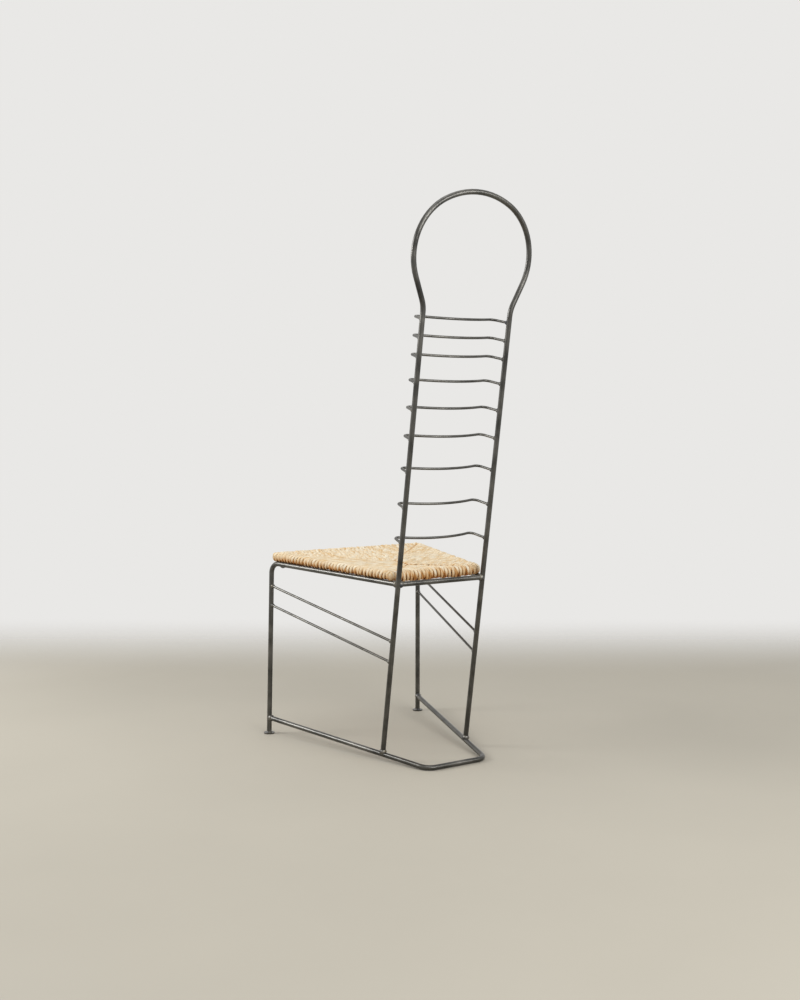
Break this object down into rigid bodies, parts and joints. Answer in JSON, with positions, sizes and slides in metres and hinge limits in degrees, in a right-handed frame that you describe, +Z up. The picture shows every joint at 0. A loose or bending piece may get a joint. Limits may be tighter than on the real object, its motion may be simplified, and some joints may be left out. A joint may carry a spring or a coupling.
{
  "type": "dining chair",
  "caption": "Dining chair of bent and welded round steel rod, with a very tall slatted back under a round head loop and a woven rush seat pad",
  "frame": {"origin": "on the floor, under the middle of the chair's outline", "axes": "+Z up; the sitter faces -Y; +X is the sitter's left"},
  "size_m": [0.473, 0.5898, 1.2813],
  "materials": {
    "steel_rod": "bare dark steel with a thin clear coat, brighter on edges",
    "slim_rod": "bare dark steel with a thin clear coat",
    "weld": "welded and brushed steel",
    "screw": "zinc-plated",
    "rush": "twisted dry rush, matt",
    "stuffing": "loose dry rush",
    "batten": "plain beech"
  },
  "bodies": {
    "root": {"back_frame": "steel_rod", "left_leg_and_rail": "steel_rod", "right_leg_and_rail": "steel_rod", "front_seat_rail": "steel_rod", "back_seat_rail": "steel_rod", "base_rod": "steel_rod", "left_foot": "steel_rod", "right_foot": "steel_rod", "seat_lugs": "steel_rod", "slat_1": "slim_rod", "slat_2": "slim_rod", "slat_3": "slim_rod", "slat_4": "slim_rod", "slat_5": "slim_rod", "slat_6": "slim_rod", "slat_7": "slim_rod", "slat_8": "slim_rod", "slat_9": "slim_rod", "left_upper_strut": "slim_rod", "left_lower_strut": "slim_rod", "right_upper_strut": "slim_rod", "right_lower_strut": "slim_rod", "seat_welds": "weld", "base_welds": "weld", "foot_welds": "weld", "strut_welds": "weld", "slat_welds": "weld", "rush_weave": "rush", "left_batten": "batten", "right_batten": "batten", "front_batten": "batten", "back_batten": "batten", "batten_dowels": "batten", "rush_stuffing": "stuffing", "seat_screws": "screw"}
  },
  "joints": []
}
